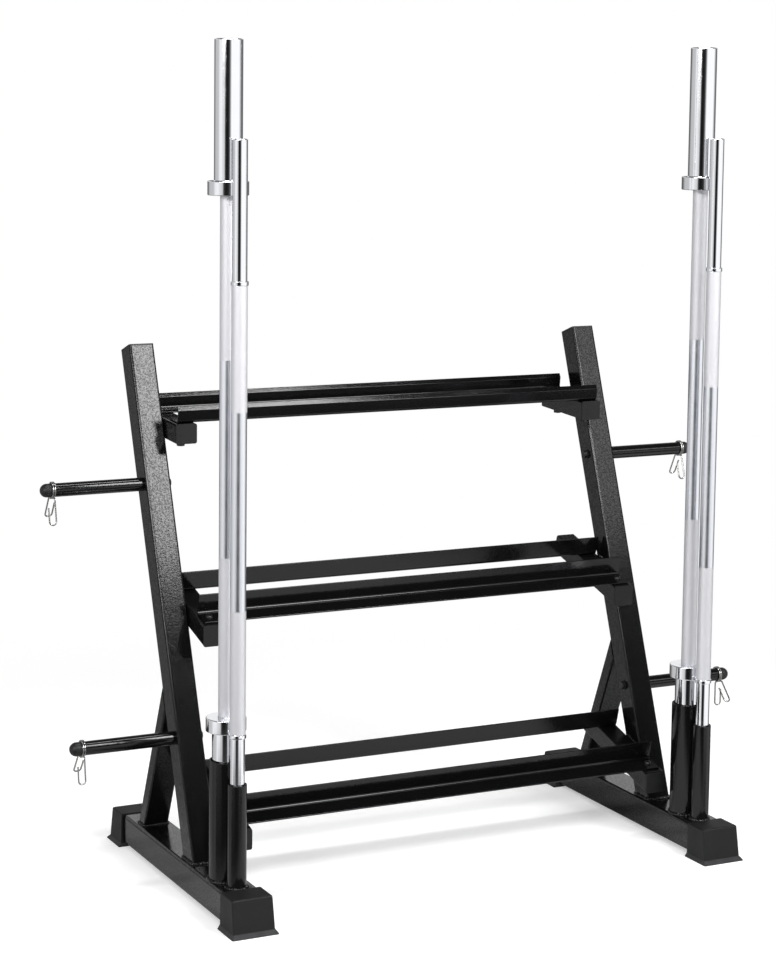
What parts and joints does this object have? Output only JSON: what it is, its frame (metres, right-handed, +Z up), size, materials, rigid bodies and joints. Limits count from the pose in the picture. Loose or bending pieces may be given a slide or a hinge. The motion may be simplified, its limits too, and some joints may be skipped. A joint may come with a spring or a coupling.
{
  "type": "weight storage rack",
  "caption": "Freestanding weight rack with leaning uprights on base beams, sloping angle-rail shelves, plate pegs with spring clips and vertical holders carrying chrome bars.",
  "frame": {"origin": "on the floor at the centre of the footprint, midway between the two base beams", "axes": "+Z up, -Y towards the user in front of the shelves, +X to the user's right"},
  "size_m": [1.426, 0.6406, 1.5553],
  "materials": {
    "frame_paint": "semi-gloss black powder coat",
    "cap_plastic": "matte black",
    "boot_plastic": "matte grey-black",
    "chrome": "bright plated steel"
  },
  "bodies": {
    "frame": {"arm_bottom_left": "frame_paint", "arm_bottom_right": "frame_paint", "arm_cap_front_bottom_left": "cap_plastic", "arm_cap_front_bottom_right": "cap_plastic", "arm_cap_front_middle_left": "cap_plastic", "arm_cap_front_middle_right": "cap_plastic", "arm_cap_front_top_left": "cap_plastic", "arm_cap_front_top_right": "cap_plastic", "arm_cap_rear_bottom_left": "cap_plastic", "arm_cap_rear_bottom_right": "cap_plastic", "arm_cap_rear_middle_left": "cap_plastic", "arm_cap_rear_middle_right": "cap_plastic", "arm_cap_rear_top_left": "cap_plastic", "arm_cap_rear_top_right": "cap_plastic", "arm_middle_left": "frame_paint", "arm_middle_right": "frame_paint", "arm_top_left": "frame_paint", "arm_top_right": "frame_paint", "bar_holder_large_left": "frame_paint", "bar_holder_large_right": "frame_paint", "bar_holder_small_left": "frame_paint", "bar_holder_small_right": "frame_paint", "base_beam_left": "frame_paint", "base_beam_right": "frame_paint", "boot_front_left": "boot_plastic", "boot_front_right": "boot_plastic", "boot_rear_left": "boot_plastic", "boot_rear_right": "boot_plastic", "plate_peg_cap_lower_left": "cap_plastic", "plate_peg_cap_lower_right": "cap_plastic", "plate_peg_cap_upper_left": "cap_plastic", "plate_peg_cap_upper_right": "cap_plastic", "plate_peg_lower_left": "frame_paint", "plate_peg_lower_right": "frame_paint", "plate_peg_upper_left": "frame_paint", "plate_peg_upper_right": "frame_paint", "rail_bottom_front": "frame_paint", "rail_bottom_rear": "frame_paint", "rail_middle_front": "frame_paint", "rail_middle_rear": "frame_paint", "rail_top_front": "frame_paint", "rail_top_rear": "frame_paint", "rear_brace_left": "frame_paint", "rear_brace_right": "frame_paint", "upright_cap_left": "cap_plastic", "upright_cap_right": "cap_plastic", "upright_left": "frame_paint", "upright_right": "frame_paint"},
    "wide_bar_left": {"wide_bar_shaft_left": "chrome"},
    "wide_sleeve_upper_left": {"wide_bar_sleeve_upper_left": "chrome"},
    "wide_sleeve_lower_left": {"wide_bar_sleeve_lower_left": "chrome"},
    "thin_bar_left": {"thin_bar_left": "chrome"},
    "clip_upper_left": {"spring_clip_upper_left": "chrome"},
    "clip_lower_left": {"spring_clip_lower_left": "chrome"},
    "wide_bar_right": {"wide_bar_shaft_right": "chrome"},
    "wide_sleeve_upper_right": {"wide_bar_sleeve_upper_right": "chrome"},
    "wide_sleeve_lower_right": {"wide_bar_sleeve_lower_right": "chrome"},
    "thin_bar_right": {"thin_bar_right": "chrome"},
    "clip_upper_right": {"spring_clip_upper_right": "chrome"},
    "clip_lower_right": {"spring_clip_lower_right": "chrome"}
  },
  "joints": [
    {"name": "wide_bar_lift_left", "type": "slide", "parent": "frame", "child": "wide_bar_left", "axis": [0, 0, 1], "range_m": [0, 0.2]},
    {"name": "wide_sleeve_upper_spin_left", "type": "hinge", "parent": "wide_bar_left", "child": "wide_sleeve_upper_left", "pos_m": [-0.488, -0.1795, 1.4], "axis": [0, 0, 1], "continuous": true},
    {"name": "wide_sleeve_lower_spin_left", "type": "hinge", "parent": "wide_bar_left", "child": "wide_sleeve_lower_left", "pos_m": [-0.488, -0.1795, 0.2], "axis": [0, 0, 1], "continuous": true},
    {"name": "thin_bar_lift_left", "type": "slide", "parent": "frame", "child": "thin_bar_left", "axis": [0, 0, 1], "range_m": [0, 0.17]},
    {"name": "clip_slide_upper_left", "type": "slide", "parent": "frame", "child": "clip_upper_left", "axis": [-1, 0, 0], "range_m": [-0.15, 0.035]},
    {"name": "clip_slide_lower_left", "type": "slide", "parent": "frame", "child": "clip_lower_left", "axis": [-1, 0, 0], "range_m": [-0.15, 0.035]},
    {"name": "wide_bar_lift_right", "type": "slide", "parent": "frame", "child": "wide_bar_right", "axis": [0, 0, 1], "range_m": [0, 0.2]},
    {"name": "wide_sleeve_upper_spin_right", "type": "hinge", "parent": "wide_bar_right", "child": "wide_sleeve_upper_right", "pos_m": [0.488, -0.1795, 1.4], "axis": [0, 0, 1], "continuous": true},
    {"name": "wide_sleeve_lower_spin_right", "type": "hinge", "parent": "wide_bar_right", "child": "wide_sleeve_lower_right", "pos_m": [0.488, -0.1795, 0.2], "axis": [0, 0, 1], "continuous": true},
    {"name": "thin_bar_lift_right", "type": "slide", "parent": "frame", "child": "thin_bar_right", "axis": [0, 0, 1], "range_m": [0, 0.17]},
    {"name": "clip_slide_upper_right", "type": "slide", "parent": "frame", "child": "clip_upper_right", "axis": [1, 0, 0], "range_m": [-0.15, 0.035]},
    {"name": "clip_slide_lower_right", "type": "slide", "parent": "frame", "child": "clip_lower_right", "axis": [1, 0, 0], "range_m": [-0.15, 0.035]}
  ]
}
